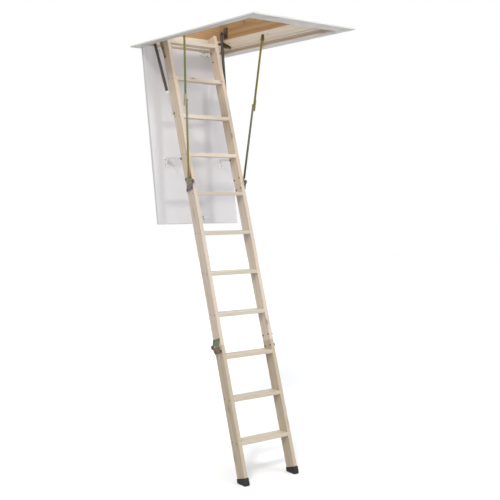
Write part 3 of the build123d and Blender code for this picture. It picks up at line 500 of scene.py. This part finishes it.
fixed_seats, door_seats, cap_turns = [], [], []
board_face, lining_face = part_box("casing_right")[0][0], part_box("lining_right")[0][0]
for side in (-1, 1):
    inward = (-side, 0, 0)
    for screws, face in ((BOARD_SCREWS, board_face), (LINING_SCREWS, lining_face),
                         ((STAY_BRACKET_SCREW,), lining_face - BRACKET),
                         (SPRING_BRACKET_SCREWS, board_face - BRACKET)):
        fixed_seats += [((side * face, y, z), inward) for y, z in screws]
    for x, along in LINK_BRACKET_SCREWS:
        door_seats.append((on_door(side * x, along, DOOR_FACE + DOOR_PLATE), door_out))
    for step in HINGE_STEPS:
        seat = on_door(side * HINGE_X + step, HINGE_SCREWS_ALONG, DOOR_FACE + DOOR_PLATE)
        door_seats.append((seat, door_out))
    axis = Vector(joints["spring_slide_left" if side < 0 else "spring_slide_right"]["axis"])
    top = Vector(joints["spring_swing"]["pos_m"]) + Vector((side * SPRING_X, 0.0, 0.0))
    cap_turns.append((top, -axis, CAP_PROFILE))
for x, along in KEEPER_SCREWS:
    door_seats.append((on_door(x, along, DOOR_FACE + KEEPER_PLATE), door_out))
screw_heads("casing_fitting_screws", "casing", fixed_seats, CASING_SCREW_RADIUS, black_zinc)
screw_heads("door_fitting_screws", "door", door_seats, DOOR_SCREW_RADIUS, black_zinc)
lathe("spring_end_caps", "spring_covers", cap_turns, white_plastic)

# ---- camera ----------------------------------------------------------------------------------------
CAMERA_AT, CAMERA_LENS, SENSOR = Vector((-3.0501, -4.2157, -0.9312)), 61.92, 36.0
CAMERA_YAW, CAMERA_PITCH, CAMERA_ROLL = math.radians(37.04), math.radians(-3.675), math.radians(0.188)

ahead = Vector((math.sin(CAMERA_YAW) * math.cos(CAMERA_PITCH), math.cos(CAMERA_YAW) * math.cos(CAMERA_PITCH),
                math.sin(CAMERA_PITCH)))
level = Vector((math.cos(CAMERA_YAW), -math.sin(CAMERA_YAW), 0.0))
upright = level.cross(ahead)
right = math.cos(CAMERA_ROLL) * level + math.sin(CAMERA_ROLL) * upright
up = -math.sin(CAMERA_ROLL) * level + math.cos(CAMERA_ROLL) * upright
camera_data = bpy.data.cameras.new("camera")
camera = in_scene("camera", camera_data)
camera.matrix_world = Matrix.Translation(CAMERA_AT) @ Matrix((right, up, -ahead)).transposed().to_4x4()
camera_data.sensor_width = SENSOR
camera_data.lens = CAMERA_LENS
camera_data.clip_end = 100.0
bpy.context.scene.camera = camera

# ---- floor and ceiling -----------------------------------------------------------------------------
ROOM_REACH = 14.0
low, high = cad_box
floor_mesh = bpy.data.meshes.new("floor")
floor_mesh.from_pydata([(-ROOM_REACH, -ROOM_REACH, low[2]), (ROOM_REACH, -ROOM_REACH, low[2]),
                        (ROOM_REACH, ROOM_REACH, low[2]), (-ROOM_REACH, ROOM_REACH, low[2])],
                       [], [(0, 1, 2, 3)])
floor = in_scene("floor", floor_mesh)
floor_shader = Shader("floor_paint")
cloud = floor_shader.noise(floor_shader.space, 0.8, 3.0)
floor_shader.put(floor_shader.out.inputs["Base Color"],
                 floor_shader.mix(cloud, rgb(0.95, 0.95, 0.95), rgb(0.97, 0.97, 0.97)))
floor_shader.out.inputs["Roughness"].default_value = 0.9
floor_mesh.materials.append(floor_shader.material)
floor.visible_diffuse = False

# A plain white ceiling around the casing, seen only from the room below. It hides what stands above it, as
# the ceiling of the room would.
CEILING_Z = 0.0004
(x0, y0, _), (x1, y1, _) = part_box("casing_left")[0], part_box("casing_right")[1]
corners = [(x, y, CEILING_Z) for grow in (0.0, ROOM_REACH)
           for x, y in ((x0 - grow, y0 - grow), (x1 + grow, y0 - grow),
                        (x1 + grow, y1 + grow), (x0 - grow, y1 + grow))]
ceiling_mesh = bpy.data.meshes.new("ceiling")
ceiling_mesh.from_pydata(corners, [], [(k + 4, k, (k + 1) % 4, (k + 1) % 4 + 4) for k in range(4)])
ceiling = in_scene("ceiling", ceiling_mesh)
ceiling_shader = bpy.data.materials.new("ceiling_white")
ceiling_shader.use_nodes = True
tree = ceiling_shader.node_tree
tree.nodes.clear()
facing = tree.nodes.new("ShaderNodeNewGeometry")
glow = tree.nodes.new("ShaderNodeEmission")
glow.inputs["Color"].default_value = rgb(1.0, 1.0, 1.0)
clear = tree.nodes.new("ShaderNodeBsdfTransparent")
choose = tree.nodes.new("ShaderNodeMixShader")
ending = tree.nodes.new("ShaderNodeOutputMaterial")
tree.links.new(facing.outputs["Backfacing"], choose.inputs[0])
tree.links.new(glow.outputs[0], choose.inputs[1])
tree.links.new(clear.outputs[0], choose.inputs[2])
tree.links.new(choose.outputs[0], ending.inputs["Surface"])
ceiling_mesh.materials.append(ceiling_shader)
ceiling.visible_shadow = False
ceiling.visible_diffuse = False
ceiling.visible_glossy = False
ceiling.visible_transmission = False

# ---- light -----------------------------------------------------------------------------------------
# The world is white to the camera, and lights the object a little more from above than from below.
FILL_LOW, FILL_HIGH = 0.42, 0.70
FILL_FROM, FILL_TO = -0.6, 0.7
world = bpy.data.worlds.new("studio")
bpy.context.scene.world = world
world.use_nodes = True
nodes, links = world.node_tree.nodes, world.node_tree.links
fill = nodes["Background"]
fill.inputs["Color"].default_value = rgb(0.96, 0.98, 1.0)
direction = nodes.new("ShaderNodeTexCoord")
split = nodes.new("ShaderNodeSeparateXYZ")
overhead = nodes.new("ShaderNodeMapRange")
overhead.inputs["From Min"].default_value = FILL_FROM
overhead.inputs["From Max"].default_value = FILL_TO
overhead.inputs["To Min"].default_value = FILL_LOW
overhead.inputs["To Max"].default_value = FILL_HIGH
links.new(direction.outputs["Generated"], split.inputs[0])
links.new(split.outputs["Z"], overhead.inputs["Value"])
links.new(overhead.outputs["Result"], fill.inputs["Strength"])
backdrop = nodes.new("ShaderNodeBackground")
backdrop.inputs["Color"].default_value = rgb(1.0, 1.0, 1.0)
backdrop.inputs["Strength"].default_value = 1.0
path = nodes.new("ShaderNodeLightPath")
blend = nodes.new("ShaderNodeMixShader")
links.new(path.outputs["Is Camera Ray"], blend.inputs[0])
links.new(fill.outputs[0], blend.inputs[1])
links.new(backdrop.outputs[0], blend.inputs[2])
links.new(blend.outputs[0], nodes["World Output"].inputs["Surface"])

WARM, WHITE = (1.0, 0.95, 0.88), (1.0, 1.0, 1.0)
# name, where it stands, strength, width in degrees, casts shadows, colour
SUNS = [
    ("key", (0.36, -1.0, 0.27), 0.45, 9.0, True, WHITE),
    ("side", (-0.8, -0.6, 0.9), 1.15, 9.0, True, WARM),
    ("top", (0.1, -0.35, 1.0), 0.85, 50.0, True, WHITE),
    ("front_fill", (-0.1, -1.0, -0.1), 0.8, 40.0, False, WHITE),
    ("left_fill", (-1.0, -0.25, 0.1), 0.3, 40.0, False, WARM),
    ("back_fill", (1.0, 0.8, 0.15), 0.7, 40.0, False, WHITE),
]
for name, toward, strength, width, shadow, colour in SUNS:
    data = bpy.data.lights.new(name, "SUN")
    data.energy = strength
    data.angle = math.radians(width)
    data.use_shadow = shadow
    data.color = colour
    in_scene(name, data).rotation_euler = Vector(toward).to_track_quat("Z", "Y").to_euler()
bpy.context.scene.view_settings.view_transform = "Standard"
